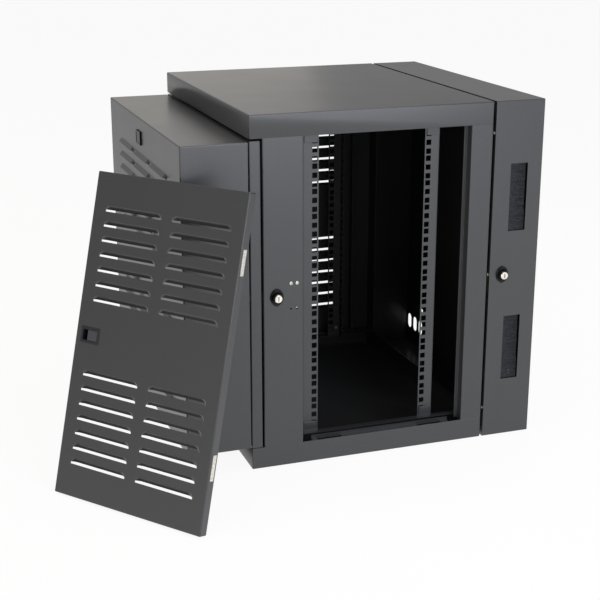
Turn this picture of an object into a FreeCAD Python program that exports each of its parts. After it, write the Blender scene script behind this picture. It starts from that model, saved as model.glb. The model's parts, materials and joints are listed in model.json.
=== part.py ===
"""Swing-out wall cabinet for 19-inch equipment, 12 rack units, with a deep front door.

Frame: millimetres, +Z up, the front door faces -Y, the wall is at +Y, and the origin is
the centre of the main body's base. The right side panel is off and leans on the door hood.
"""
import FreeCAD, Part
import math
import os

V = FreeCAD.Vector
os.makedirs("parts", exist_ok=True)

# ---- overall sizes ---------------------------------------------------------------------
WIDTH = 570.0            # cabinet, side face to side face
BODY_DEPTH = 450.0       # main body, front edge to rear edge
RACK_UNITS = 12
UNIT = 44.45             # height of one rack unit
PAN_LIP = 40.0           # depth of the top cover's and the bottom pan's edge
RAIL_MARGIN = 10.8       # from the pans' edges to the first and last rack unit
HEIGHT = RACK_UNITS * UNIT + 2 * (PAN_LIP + RAIL_MARGIN)
WALL_GAP = 5.0           # between main body and wall section, holds the hinge leaves
WALL_DEPTH = 95.0        # wall section
HOOD_DEPTH = 116.0       # box of the front door

# ---- sheet -----------------------------------------------------------------------------
SHEET = 1.5
BEND = 0.8               # inside radius of a fold
PANEL_SHEET = 1.2

# ---- main body -------------------------------------------------------------------------
DOOR_POCKET = 23.0       # the pans stand this far forward of the front posts
FRONT_POST = 73.0        # side face of a front post
REAR_POST = 42.0         # side face of a rear post
POST_FLANGE = 40.0       # front or rear flange of a post
RABBET = 17.0            # depth of the recess that a side panel sits in
RABBET_LIP = 6.0

# ---- rack rails ------------------------------------------------------------------------
HOLE_SPACING_X = 465.1   # between the hole columns of a left and a right rail
RAIL_CLEAR = 450.0       # clear width between the rails
RAIL_FACE = 18.5         # flange with the equipment holes
RAIL_SIDE = 29.0         # flange along the side
RAIL_SHEET = 1.8
SQUARE_HOLE = 9.5
UNIT_HOLES = (6.35, 22.225, 38.1)
SIDE_HOLE_EDGE = 7.1     # hole centre to the side flange's free edge
FRONT_RAIL_SETBACK = 109.0   # front edge of the body to the front rails' face
REAR_RAIL_SETBACK = 83.0     # rear edge of the body to the rear rails' face
BEARER_RISE = 28.0       # inner wall of the bearer channel
BEARER_CURB = 12.0       # outer wall of the bearer channel
BEARER_SLOT = 46.0
BEARER_SLOT_WIDTH = 8.0
BEARER_SLOT_INSETS = (37.0, 33.4)    # from the bearer's front and rear ends

# ---- side panels -----------------------------------------------------------------------
PANEL_GAP = 1.0          # between a panel and its opening
SEAT = 0.3               # running gap where a loose piece rests
LOUVRE_HEIGHT = 10.5
LOUVRE_DEPTH = 9.0       # where the slope would meet the slit's lower edge
LOUVRE_SLOT = 3.2        # open height under the lanced edge
LOUVRE_PITCH = 25.4
LOUVRE_ROWS = 7          # in each group
PANEL_GROUPS_APART = 11  # pitches between the centres of the two groups
PANEL_COLUMNS = 2
PANEL_COLUMN_GAP = 20.0
PANEL_LOUVRE_MARGIN = 25.0
LATCH_INSET = 31.0       # panel edge to latch centre
LATCH_LENGTH = 40.0
LATCH_HEIGHT = 28.0
LATCH_TRAVEL = 7.0
LATCH_WALL = 1.6
BOLT_WIDTH = 14.0
BOLT_THICK = 3.0
BOLT_CLEAR = 0.5         # between the bolt and the lip that it slides behind
BOLT_END = 5.5           # released bolt's tip, from the panel's edge
CLIP_LENGTH = 42.0
CLIP_WIDTH = 9.0
CLIP_SHEET = 0.4
CLIP_ARCH = 0.35
CLIP_OFFSET = 165.0      # clip centre from the panel's middle
LEAN_ANGLE = 16.05       # of the panel that is off, from upright
TURN_ANGLE = 38.4        # of its face from the cabinet's side
LEAN_OFFSET = 4.0        # where the hood's corner touches, from the panel's middle

# ---- front door ------------------------------------------------------------------------
DOOR_CLEAR_TOP = 4.0
DOOR_CLEAR_BOTTOM = 1.2
FRAME_DEPTH = 20.0
FRAME_FLANGE = 30.0
HOOD_JOINT = 2.0         # shadow line between frame and hood
HOOD_DROP = 1.0          # the hood is this much lower than the frame
HOOD_RETURN = 18.0       # also the frame's front flange
HOOD_SCREW_EDGE = 60.0
HOOD_COLUMNS = 3
HOOD_GROUPS_APART = 10
HOOD_COLUMN_GAP = 12.0
HOOD_LOUVRE_MARGIN = 93.0
DOOR_AXIS_INSET = 8.0    # from the left face and from the frame's front
DOOR_PIN_RADIUS = 3.0
PIN_CLEAR = 0.05

# ---- wall section ----------------------------------------------------------------------
WALL_FRONT_RETURN = 25.0
WALL_HOLE_RADIUS = 5.0
WALL_HOLE_SPACING = 406.4    # stud spacing, across
WALL_HOLE_EDGE = 90.0        # from the top or the bottom edge
BACK_SLOTS = 3               # upright slots in the back plate, low on the hinge side
BACK_SLOT_WIDTH = 20.0
BACK_SLOT_HEIGHT = 33.0
BACK_SLOT_PITCH = 29.0
BACK_SLOT_INSET = 16.5       # first slot's middle from the side
BACK_SLOT_RISE = 48.0        # middle above the base
BRUSH_SETBACK = 33.0         # window edge from the section's front
BRUSH_GAP = 1.5              # free ends to the window's rear edge
BRUSH_WIDTH = 34.0
BRUSH_LENGTH = 124.0
BRUSH_LOWER = 112.0          # lower window above the base
BRUSH_UPPER = 398.0
BRISTLE_THICK = 2.4
HOLDER = 6.0             # width of the strip that grips the bristles
HOLDER_SHEET = 1.0

# ---- swing hinges ----------------------------------------------------------------------
SWING_OUTSET = 5.0       # hinge axis outside the left face
KNUCKLE_RADIUS = 4.5
SWING_PIN_RADIUS = 2.5
LEAF = 2.0
LEAF_WIDTH = 26.0
HINGE_LENGTH = 60.0
KNUCKLE_GAP = 0.3
HINGE_EDGE = 75.0        # hinge end from the top or the bottom

# ---- cam locks -------------------------------------------------------------------------
LOCK_HEIGHT = HEIGHT / 2
DOOR_LOCK_SETBACK = 47.0     # from the body's front edge
WALL_LOCK_SETBACK = 25.0     # from the wall section's front edge
BARREL_RADIUS = 9.3
BARREL_LENGTH = 19.0
BEZEL_HALF_WIDTH = 12.0
BEZEL_HALF_HEIGHT = 16.0
BEZEL_THICK = 3.0
BOSS_BASE = 10.5         # radii and height of the housing's cone
BOSS_TOP = 8.6
BOSS_HEIGHT = 6.0
CYLINDER_RADIUS = 7.0
CYLINDER_STANDS = 12.0   # out of the sheet
KEYWAY_WIDTH = 1.8
KEYWAY_LENGTH = 8.0
NUT_FLATS = 24.0
NUT_THICK = 5.0
CAM_SHEET = 2.0
CAM_WIDTH = 13.0
CAM_REACH = 43.0
HOOK_START = 34.0
HOOK_RISE = 14.0
CAM_SLOT_CLEAR = 1.6

# ---- small hardware --------------------------------------------------------------------
STRIKE_SCREW_RISE = 22.9     # strike screws and spare holes above and below the lock line
STRIKE_SCREW_SETBACKS = (73.0, 84.0)
STRIKE_SHEET = 1.2
SCREW_HEAD_RADIUS = 3.4
SCREW_HEAD = 1.6
SCREW_RADIUS = 1.9
STUD_LENGTH = 18.0
STUD_WASHER = 5.5
STUD_NUT = 4.0
EARTH_STUD_INSETS = (135.0, 45.0)    # from the right side and the rear edge

# ---- derived places --------------------------------------------------------------------
SIDE = WIDTH / 2
FRONT = -BODY_DEPTH / 2
REAR = BODY_DEPTH / 2
POST_FRONT = FRONT + DOOR_POCKET
OPEN_FRONT = POST_FRONT + FRONT_POST
BOLT_FLOOR = RABBET + SHEET + BOLT_CLEAR     # face of the panel to the bolt
OPEN_REAR = REAR - REAR_POST
POST_BASE = PAN_LIP
POST_TOP = HEIGHT - PAN_LIP
MIDDLE = HEIGHT / 2
WALL_FRONT = REAR + WALL_GAP
WALL_BACK = WALL_FRONT + WALL_DEPTH
RACK_BASE = PAN_LIP + RAIL_MARGIN
RAIL_OUTER = RAIL_CLEAR / 2 + RAIL_FACE
LIP_INNER = SIDE - RABBET - SHEET
PANEL_WIDTH = OPEN_REAR - OPEN_FRONT - 2 * PANEL_GAP
PANEL_HEIGHT = POST_TOP - POST_BASE - 2 * PANEL_GAP
PANEL_DEPTH = RABBET - SEAT
PANEL_MID_Y = (OPEN_FRONT + OPEN_REAR) / 2
EARTH_STUD = V(SIDE - EARTH_STUD_INSETS[0], REAR - EARTH_STUD_INSETS[1], 0)
DOOR_BASE = POST_BASE + DOOR_CLEAR_BOTTOM
DOOR_TOP = POST_TOP - DOOR_CLEAR_TOP
HOOD_BACK = FRONT - HOOD_JOINT
HOOD_FRONT = HOOD_BACK - HOOD_DEPTH
HOOD_TOP = DOOR_TOP - HOOD_DROP
DOOR_AXIS = V(-SIDE + DOOR_AXIS_INSET, FRONT + DOOR_AXIS_INSET + HOOD_JOINT, 0)
SWING_AXIS = V(-SIDE - SWING_OUTSET, REAR + WALL_GAP / 2, 0)
DOOR_LOCK = V(SIDE, FRONT + DOOR_LOCK_SETBACK, LOCK_HEIGHT)
WALL_LOCK = V(SIDE, WALL_FRONT + WALL_LOCK_SETBACK, LOCK_HEIGHT)
CAM_X = SIDE - BARREL_LENGTH


# ---- shape helpers ---------------------------------------------------------------------
def save(name, shape):
    """Write one node."""
    shape.exportStep(f"parts/{name}.step")


def box(low, high):
    """Block between two corners."""
    size = [b - a for a, b in zip(low, high)]
    return Part.makeBox(size[0], size[1], size[2], V(*low))


def rod(radius, length, base, direction):
    return Part.makeCylinder(radius, length, base, direction)


def fused(shapes):
    """One clean solid from touching or overlapping ones."""
    whole = shapes[0]
    for shape in shapes[1:]:
        whole = whole.fuse(shape)
    return whole.removeSplitter()


def on_plane(axis, a, b, along):
    """Point of a section drawn across an axis."""
    return {"X": V(along, a, b), "Y": V(a, along, b), "Z": V(a, b, along)}[axis]


def rounded_wire(corners):
    """Closed wire through (point, radius) corners."""
    edges, last = [], None
    first = None
    count = len(corners)
    for index, (point, radius) in enumerate(corners):
        back = (corners[index - 1][0] - point).normalize()
        ahead = (corners[(index + 1) % count][0] - point).normalize()
        if radius > 0:
            half = back.getAngle(ahead) / 2
            start = point + back * (radius / math.tan(half))
            end = point + ahead * (radius / math.tan(half))
            middle = point + (back + ahead).normalize() * (radius / math.sin(half) - radius)
            arc = Part.Arc(start, middle, end).toShape()
        else:
            start = end = point
            arc = None
        if last is not None:
            edges.append(Part.makeLine(last, start))
        else:
            first = start
        if arc:
            edges.append(arc)
        last = end
    edges.append(Part.makeLine(last, first))
    return Part.Wire(edges)


def folded(axis, path, low, high, thick=SHEET, bend=BEND):
    """Folded sheet: the path is its outer line, the thickness lies to the path's left."""
    points = [V(a, b, 0) for a, b in path]
    runs = [(b - a).normalize() for a, b in zip(points, points[1:])]
    normals = [V(-run.y, run.x, 0) for run in runs]
    outer, inner = [], []
    for index, point in enumerate(points):
        if index in (0, len(points) - 1):
            normal = normals[0] if index == 0 else normals[-1]
            outer.append((point, 0))
            inner.append((point + normal * thick, 0))
            continue
        before, after = normals[index - 1], normals[index]
        mitre = (before + after) * (1 / (1 + before.dot(after)))
        left_turn = runs[index - 1].cross(runs[index]).z > 0
        outer.append((point, bend + thick if left_turn else bend))
        inner.append((point + mitre * thick, bend if left_turn else bend + thick))
    corners = [(on_plane(axis, p.x, p.y, low), radius) for p, radius in outer + inner[::-1]]
    face = Part.Face(rounded_wire(corners))
    return face.extrude(on_plane(axis, 0, 0, high - low))


def mirrored(shape):
    """The left-hand piece of a right-hand one."""
    return shape.mirror(V(0, 0, 0), V(1, 0, 0))


def hexagon(flats, thick, base):
    """Hexagonal prism along +X."""
    across = flats / math.cos(math.pi / 6) / 2
    points = [base + V(0, across * math.cos(k * math.pi / 3), across * math.sin(k * math.pi / 3))
              for k in range(7)]
    return Part.Face(Part.makePolygon(points)).extrude(V(thick, 0, 0))


# ---- pressed louvres -------------------------------------------------------------------
def column_length(width, margin, columns, gap):
    """Length of one louvre where columns share a sheet's width."""
    return (width - 2 * margin - (columns - 1) * gap) / columns


def louvre_form(length, height, depth):
    """Wedge with quarter-cone ends: slit along local X at Z = 0, pressed towards +Y."""
    straight = length / 2 - height
    section = Part.Face(Part.makePolygon([
        V(-straight, 0, 0), V(-straight, 0, height), V(-straight, depth, 0), V(-straight, 0, 0)]))
    ramp = section.extrude(V(2 * straight, 0, 0))
    left = section.revolve(V(-straight, 0, 0), V(0, 1, 0), -90)
    right = section.translated(V(2 * straight, 0, 0)).revolve(V(straight, 0, 0), V(0, 1, 0), 90)
    return ramp.fuse(left).fuse(right).removeSplitter()


def louvre_pair(length, thick):
    """The dome to add behind a sheet and the hollow to cut from it."""
    dome = louvre_form(length + 2 * thick, LOUVRE_HEIGHT + thick, LOUVRE_DEPTH + thick)
    open_end = box((-length, -1, -1), (length, 2 * LOUVRE_DEPTH, LOUVRE_SLOT))
    hollow = louvre_form(length, LOUVRE_HEIGHT, LOUVRE_DEPTH)
    slot_half = length / 2 - LOUVRE_SLOT
    slot = box((-slot_half, -1, 0), (slot_half, 2 * LOUVRE_DEPTH, LOUVRE_SLOT))
    return dome.cut(open_end), hollow.fuse(slot).removeSplitter()


def louvre_places(columns, column_pitch, groups_apart):
    """Slit positions across and up from the middle of a louvred sheet."""
    places = []
    for column in range(columns):
        across = (column - (columns - 1) / 2) * column_pitch
        for group in (-1, 1):
            for row in range(LOUVRE_ROWS):
                up = group * groups_apart / 2 + row - (LOUVRE_ROWS - 1) / 2
                places.append((across, up * LOUVRE_PITCH - LOUVRE_HEIGHT / 2))
    return places


# ---- top cover and bottom pan ----------------------------------------------------------
def pan():
    """Bottom pan: floor, four lips, a return under the door and the side panels' sills."""
    corner = BEND + SHEET
    outer = box((-SIDE, FRONT, 0), (SIDE, REAR, PAN_LIP))
    edges = [e for e in outer.Edges
             if e.BoundBox.ZMax < 1 or (e.BoundBox.ZMax - e.BoundBox.ZMin > PAN_LIP - 1)]
    outer = outer.makeFillet(corner, edges)
    inside = box((-SIDE + SHEET, FRONT + SHEET, SHEET), (SIDE - SHEET, REAR - SHEET, PAN_LIP))
    tray = outer.cut(inside)
    front_return = box((-SIDE + SHEET, FRONT + SHEET, PAN_LIP - SHEET),
                       (SIDE - SHEET, POST_FRONT + SHEET, PAN_LIP))
    pieces = [tray, front_return]
    for side in (1, -1):
        sill = [(side * SIDE, PAN_LIP - SHEET), (side * LIP_INNER, PAN_LIP - SHEET)]
        low_x, high_x = sorted(x for x, _ in sill)
        pieces.append(box((low_x, POST_FRONT, PAN_LIP - SHEET), (high_x, REAR - SHEET, PAN_LIP)))
        lip_x = sorted((side * LIP_INNER, side * (LIP_INNER + SHEET)))
        pieces.append(box((lip_x[0], OPEN_FRONT + RABBET_LIP, PAN_LIP - SHEET),
                          (lip_x[1], OPEN_REAR - RABBET_LIP, PAN_LIP + RABBET_LIP)))
    whole = fused(pieces)
    # keep the folded corners round where the returns meet the lips
    return whole.common(outer.fuse(box((-SIDE + corner, FRONT + corner, SHEET),
                                       (SIDE - corner, REAR - corner, PAN_LIP + RABBET_LIP))))


def make_pans():
    plain = pan()
    pin_hole = rod(DOOR_PIN_RADIUS + PIN_CLEAR, 2 * SHEET,
                   V(DOOR_AXIS.x, DOOR_AXIS.y, PAN_LIP - 1.5 * SHEET), V(0, 0, 1))
    bottom = plain.cut(pin_hole)
    top = bottom.mirror(V(0, 0, MIDDLE), V(0, 0, 1))
    stud_hole = rod(SCREW_RADIUS, 2 * SHEET, EARTH_STUD - V(0, 0, SHEET / 2), V(0, 0, 1))
    save("bottom_pan", bottom.cut(stud_hole))
    save("top_cover", top)


# ---- posts -----------------------------------------------------------------------------
def cam_slot(lock, low_y, high_y):
    """Cut for a hook cam that swings from straight down to the front."""
    half = CAM_WIDTH / 2 + CAM_SLOT_CLEAR
    return box((CAM_X - CAM_SHEET - 2 * CAM_SLOT_CLEAR, low_y, lock.z - CAM_REACH + 4),
               (CAM_X + 2 * CAM_SLOT_CLEAR, high_y, lock.z + half))


def strike_holes():
    """Two screws above the lock line and two spare holes below it."""
    return [V(SIDE, FRONT + setback, LOCK_HEIGHT + rise)
            for rise in (STRIKE_SCREW_RISE, -STRIKE_SCREW_RISE)
            for setback in STRIKE_SCREW_SETBACKS]


def make_posts():
    front_path = [(SIDE - POST_FLANGE, POST_FRONT), (SIDE, POST_FRONT), (SIDE, OPEN_FRONT),
                  (SIDE - RABBET, OPEN_FRONT), (SIDE - RABBET, OPEN_FRONT + RABBET_LIP)]
    rear_path = [(SIDE - RABBET, OPEN_REAR - RABBET_LIP), (SIDE - RABBET, OPEN_REAR),
                 (SIDE, OPEN_REAR), (SIDE, REAR), (SIDE - POST_FLANGE, REAR)]
    front = folded("Z", front_path, POST_BASE, POST_TOP)
    for hole in strike_holes():
        front = front.cut(rod(SCREW_RADIUS, 3 * SHEET, hole + V(-2 * SHEET, 0, 0), V(1, 0, 0)))
    rear = folded("Z", rear_path, POST_BASE, POST_TOP)
    locked_front = front.cut(rod(BARREL_RADIUS, 3 * SHEET, DOOR_LOCK + V(-2 * SHEET, 0, 0),
                                 V(1, 0, 0)))
    locked_front = locked_front.cut(cam_slot(DOOR_LOCK, POST_FRONT - SHEET, POST_FRONT + 2 * SHEET))
    locked_rear = rear.cut(cam_slot(WALL_LOCK, REAR - 2 * SHEET, REAR + SHEET))
    save("front_post_right", locked_front)
    save("front_post_left", mirrored(front))
    save("rear_post_right", locked_rear)
    save("rear_post_left", mirrored(rear))


# ---- rack rails and their bearers ------------------------------------------------------
def unit_heights():
    return [RACK_BASE + unit * UNIT + hole for unit in range(RACK_UNITS) for hole in UNIT_HOLES]


def square_cuts(centre_of, direction):
    """Square holes at every unit height; centre_of gives each centre."""
    half = SQUARE_HOLE / 2
    cuts = []
    for z in unit_heights():
        x, y = centre_of
        reach_x = 3 * RAIL_SHEET if direction == "X" else half
        reach_y = 3 * RAIL_SHEET if direction == "Y" else half
        cuts.append(box((x - reach_x, y - reach_y, z - half), (x + reach_x, y + reach_y, z + half)))
    return cuts


def rail(face_y, inward):
    """Right-hand rail; inward is +1 when its side flange runs towards +Y."""
    path = [(RAIL_CLEAR / 2, face_y), (RAIL_OUTER, face_y), (RAIL_OUTER, face_y + inward * RAIL_SIDE)]
    if inward < 0:
        path = path[::-1]
    base = POST_BASE + SHEET
    body = folded("Z", path, base, HEIGHT - base, RAIL_SHEET, BEND)
    face_cuts = square_cuts((HOLE_SPACING_X / 2, face_y), "Y")
    side_y = face_y + inward * (RAIL_SIDE - SIDE_HOLE_EDGE)
    side_cuts = square_cuts((RAIL_OUTER, side_y), "X")
    return body.cut(face_cuts + side_cuts)


def bearer():
    """Lower right channel that carries the rails, with slots to set their depth."""
    path = [(LIP_INNER, POST_BASE + BEARER_CURB), (LIP_INNER, POST_BASE),
            (RAIL_OUTER, POST_BASE), (RAIL_OUTER, POST_BASE + BEARER_RISE)]
    start, end = OPEN_FRONT + SEAT, OPEN_REAR - SEAT
    channel = folded("Y", path[::-1], start, end)
    middle_x = (LIP_INNER + RAIL_OUTER) / 2
    for low in (start + BEARER_SLOT_INSETS[0], end - BEARER_SLOT_INSETS[1] - BEARER_SLOT):
        channel = channel.cut(box(
            (middle_x - BEARER_SLOT_WIDTH / 2, low, POST_BASE - SHEET),
            (middle_x + BEARER_SLOT_WIDTH / 2, low + BEARER_SLOT, POST_BASE + 2 * SHEET)))
    return channel


def make_rack():
    front = rail(FRONT + FRONT_RAIL_SETBACK, 1)
    rear = rail(REAR - REAR_RAIL_SETBACK, -1)
    save("front_rail_right", front)
    save("front_rail_left", mirrored(front))
    save("rear_rail_right", rear)
    save("rear_rail_left", mirrored(rear))
    low = bearer()
    high = low.mirror(V(0, 0, MIDDLE), V(0, 0, 1))
    save("bearer_bottom_right", low)
    save("bearer_bottom_left", mirrored(low))
    save("bearer_top_right", high)
    save("bearer_top_left", mirrored(high))


# ---- cam locks -------------------------------------------------------------------------
def lock_bezel(centre):
    """Oval plate that tapers to a point above and below, with a cone around the cylinder."""
    across, tall = BEZEL_HALF_WIDTH, BEZEL_HALF_HEIGHT
    tips = [centre + V(0, 0, tall), centre + V(0, 0, -tall)]
    sides = [centre + V(0, across, 0), centre + V(0, -across, 0)]
    edges = [Part.Arc(tips[0], sides[0], tips[1]).toShape(),
             Part.Arc(tips[1], sides[1], tips[0]).toShape()]
    plate = Part.Face(Part.Wire(edges)).extrude(V(BEZEL_THICK, 0, 0))
    plate = plate.makeChamfer(1.0, [e for e in plate.Edges
                                    if e.BoundBox.XMin > centre.x + BEZEL_THICK - 0.01])
    boss = Part.makeCone(BOSS_BASE, BOSS_TOP, BOSS_HEIGHT, centre + V(BEZEL_THICK, 0, 0), V(1, 0, 0))
    return fused([plate, boss])


def make_lock(name, centre):
    """Bezel with barrel, nut, key cylinder and hook cam; the axis runs along X."""
    out = V(1, 0, 0)
    barrel = rod(BARREL_RADIUS, BARREL_LENGTH, centre - out * BARREL_LENGTH, out)
    bore = rod(CYLINDER_RADIUS + PIN_CLEAR, BARREL_LENGTH + 2 * CYLINDER_STANDS,
               centre - out * (BARREL_LENGTH + 1), out)
    save(f"{name}_bezel", fused([lock_bezel(centre), barrel]).cut(bore))
    nut = hexagon(NUT_FLATS, NUT_THICK, centre - out * (SHEET + NUT_THICK))
    save(f"{name}_nut", nut.cut(rod(BARREL_RADIUS, 3 * NUT_THICK, centre - out * 2 * NUT_THICK, out)))
    cylinder = rod(CYLINDER_RADIUS, BARREL_LENGTH + CYLINDER_STANDS, centre - out * BARREL_LENGTH,
                   out)
    cylinder = cylinder.makeChamfer(0.8, [e for e in cylinder.Edges
                                          if e.BoundBox.XMin > centre.x + CYLINDER_STANDS - 0.01])
    keyway = box((centre.x, centre.y - KEYWAY_WIDTH / 2, centre.z - KEYWAY_LENGTH / 2),
                 (centre.x + 2 * CYLINDER_STANDS, centre.y + KEYWAY_WIDTH / 2,
                  centre.z + KEYWAY_LENGTH / 2))
    save(f"{name}_cylinder", cylinder.cut(keyway))
    face = centre.x - BARREL_LENGTH
    half = CAM_WIDTH / 2
    arm = box((face - CAM_SHEET, centre.y - half, centre.z - CAM_REACH),
              (face, centre.y + half, centre.z))
    hook = box((face - CAM_SHEET, centre.y - HOOK_RISE, centre.z - CAM_REACH),
               (face, centre.y, centre.z - HOOK_START))
    round_end = rod(half, CAM_SHEET, V(face - CAM_SHEET, centre.y, centre.z), out)
    save(f"{name}_cam", fused([arm, hook, round_end]))
    screw = rod(SCREW_HEAD_RADIUS + 0.8, 2 * SCREW_HEAD,
                V(face - CAM_SHEET - 2 * SCREW_HEAD, centre.y, centre.z), out)
    save(f"{name}_cam_screw", screw)


# ---- strikes and fixings ---------------------------------------------------------------
def make_strikes():
    """Angles inside the front posts; a latch bolt behind the lip ends at the short leg."""
    inner = SIDE - SHEET
    end_x = SIDE - BOLT_FLOOR - BOLT_THICK - 1
    back_y = OPEN_FRONT - SHEET
    front_y = FRONT + STRIKE_SCREW_SETBACKS[0] - 8
    path = [(end_x, back_y), (inner, back_y), (inner, front_y)]
    strike = folded("Z", path[::-1], LOCK_HEIGHT - 30, LOCK_HEIGHT + 30, STRIKE_SHEET)
    for hole in strike_holes():
        strike = strike.cut(rod(SCREW_RADIUS, 4 * SHEET, hole + V(-4 * SHEET, 0, 0), V(1, 0, 0)))
    save("latch_strike_right", strike)
    save("latch_strike_left", mirrored(strike))
    heads = []
    for hole in strike_holes()[:2]:
        head = rod(SCREW_HEAD_RADIUS, SCREW_HEAD, hole, V(1, 0, 0))
        shank = rod(SCREW_RADIUS, SHEET + STRIKE_SHEET + 2, hole - V(SHEET + STRIKE_SHEET + 2, 0, 0),
                    V(1, 0, 0))
        heads.append(fused([head, shank]))
    heads += [mirrored(head) for head in heads]
    save("strike_screws", Part.makeCompound(heads))


def make_gap_screws():
    """Screw heads that show in the gap between the body and the wall section."""
    x = SIDE - 7
    heads = [rod(SCREW_HEAD_RADIUS, SCREW_HEAD + 0.6, V(x, WALL_FRONT, z), V(0, -1, 0))
             for z in (57.0, MIDDLE, HEIGHT - 57.0)]
    save("gap_screws", Part.makeCompound(heads))


def make_earth_stud():
    stud = rod(SCREW_RADIUS, STUD_LENGTH, EARTH_STUD, V(0, 0, 1))
    washer = rod(STUD_WASHER, 1.2, EARTH_STUD + V(0, 0, SHEET), V(0, 0, 1))
    nut = rod(STUD_NUT, 3.5, EARTH_STUD + V(0, 0, SHEET + 1.2), V(0, 0, 1))
    save("earth_stud", fused([stud, washer, nut]))


def make_rail_screws():
    """Screws through the rails' side flanges into the bearers' inner walls."""
    screws = []
    for y in (FRONT + FRONT_RAIL_SETBACK + 10, REAR - REAR_RAIL_SETBACK - 10):
        for z in (POST_BASE + BEARER_RISE - 8, HEIGHT - POST_BASE - BEARER_RISE + 8):
            head = rod(SCREW_HEAD_RADIUS, SCREW_HEAD, V(RAIL_OUTER - RAIL_SHEET, y, z), V(-1, 0, 0))
            screws.append(head)
            screws.append(mirrored(head))
    save("rail_screws", Part.makeCompound(screws))


# ---- side panels -----------------------------------------------------------------------
def panel_shell():
    """Louvred pan in its own frame: face at Y = 0, flanges to +Y, latch side at -X."""
    w, h = PANEL_WIDTH / 2, PANEL_HEIGHT / 2
    corner = BEND + PANEL_SHEET
    outer = box((-w, 0, -h), (w, PANEL_DEPTH, h))
    edges = [e for e in outer.Edges
             if e.BoundBox.YMax < 0.01 or e.BoundBox.YMax - e.BoundBox.YMin > PANEL_DEPTH - 1]
    outer = outer.makeFillet(corner, edges)
    t = PANEL_SHEET
    shell = outer.cut(box((-w + t, t, -h + t), (w - t, PANEL_DEPTH + 1, h - t)))
    length = column_length(PANEL_WIDTH, PANEL_LOUVRE_MARGIN, PANEL_COLUMNS, PANEL_COLUMN_GAP)
    places = louvre_places(PANEL_COLUMNS, length + PANEL_COLUMN_GAP, PANEL_GROUPS_APART)
    dome, hollow = louvre_pair(length, t)
    shell = shell.fuse([dome.translated(V(x, 0, z)) for x, z in places])
    shell = shell.cut([hollow.translated(V(x, 0, z)) for x, z in places])
    x = -w + LATCH_INSET
    wall = LATCH_WALL
    case = box((x - LATCH_LENGTH / 2 + wall, -1, -LATCH_HEIGHT / 2 + wall),
               (x + LATCH_LENGTH / 2 - wall, 2 * t, LATCH_HEIGHT / 2 - wall))
    return shell.cut(case)


def latch_case():
    """Moulded latch frame with a finger pocket."""
    x = -PANEL_WIDTH / 2 + LATCH_INSET
    half_l, half_h, wall = LATCH_LENGTH / 2, LATCH_HEIGHT / 2, LATCH_WALL
    bezel = box((x - half_l, -1.2, -half_h), (x + half_l, 0, half_h))
    bezel = bezel.makeFillet(0.9, [e for e in bezel.Edges if e.BoundBox.YMax < -1.1])
    deep = BOLT_FLOOR + BOLT_THICK + 0.4
    body = box((x - half_l + wall, 0, -half_h + wall), (x + half_l - wall, deep + wall, half_h - wall))
    case = fused([bezel, body])
    pocket = box((x - half_l + 3 * wall, -2, -half_h + 3 * wall),
                 (x + half_l - 3 * wall, deep, half_h - 3 * wall))
    tunnel = box((x - half_l - 1, BOLT_FLOOR - 0.2, -BOLT_WIDTH / 2 - 0.2),
                 (x, deep, BOLT_WIDTH / 2 + 0.2))
    return case.cut([pocket, tunnel])


def latch_slider():
    """Thumb block with its bolt, drawn back."""
    x = -PANEL_WIDTH / 2 + LATCH_INSET
    pocket_end = x + LATCH_LENGTH / 2 - 3 * LATCH_WALL - 0.2
    half_h = LATCH_HEIGHT / 2 - 3 * LATCH_WALL - 0.2
    floor = BOLT_FLOOR
    pocket_length = LATCH_LENGTH - 6 * LATCH_WALL - 0.4
    block = box((pocket_end - pocket_length + LATCH_TRAVEL + 2.5, -0.8, -half_h),
                (pocket_end, floor, half_h))
    block = block.makeFillet(0.8, [e for e in block.Edges if e.BoundBox.YMax < -0.7])
    plate = box((pocket_end - pocket_length + LATCH_TRAVEL + 2.5, floor, -BOLT_WIDTH / 2),
                (pocket_end, floor + BOLT_THICK, BOLT_WIDTH / 2))
    bolt = box((-PANEL_WIDTH / 2 + BOLT_END, floor, -BOLT_WIDTH / 2),
               (pocket_end - 2, floor + BOLT_THICK, BOLT_WIDTH / 2))
    return fused([block, plate, bolt])


def panel_clips():
    """Two arched spring clips on the outside of the panel's hook edge."""
    edge = PANEL_WIDTH / 2
    half = CLIP_LENGTH / 2
    clips = []
    for z in (-CLIP_OFFSET, CLIP_OFFSET):
        foot = [(edge + CLIP_SHEET, z - half), (edge, z - half), (edge, z + half),
                (edge + CLIP_SHEET, z + half)]
        points = [V(a, 4, b) for a, b in foot]
        crown = Part.Arc(points[3], V(edge + CLIP_SHEET + CLIP_ARCH, 4, z), points[0]).toShape()
        sides = [Part.makeLine(a, b) for a, b in zip(points, points[1:])]
        clips.append(Part.Face(Part.Wire(sides + [crown])).extrude(V(0, CLIP_WIDTH, 0)))
    return Part.makeCompound(clips)


def placement(across, inward, up, centre):
    """Placement whose local X, Y, Z run along the three given directions."""
    matrix = FreeCAD.Matrix(across.x, inward.x, up.x, centre.x,
                            across.y, inward.y, up.y, centre.y,
                            across.z, inward.z, up.z, centre.z, 0, 0, 0, 1)
    return FreeCAD.Placement(matrix)


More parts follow.
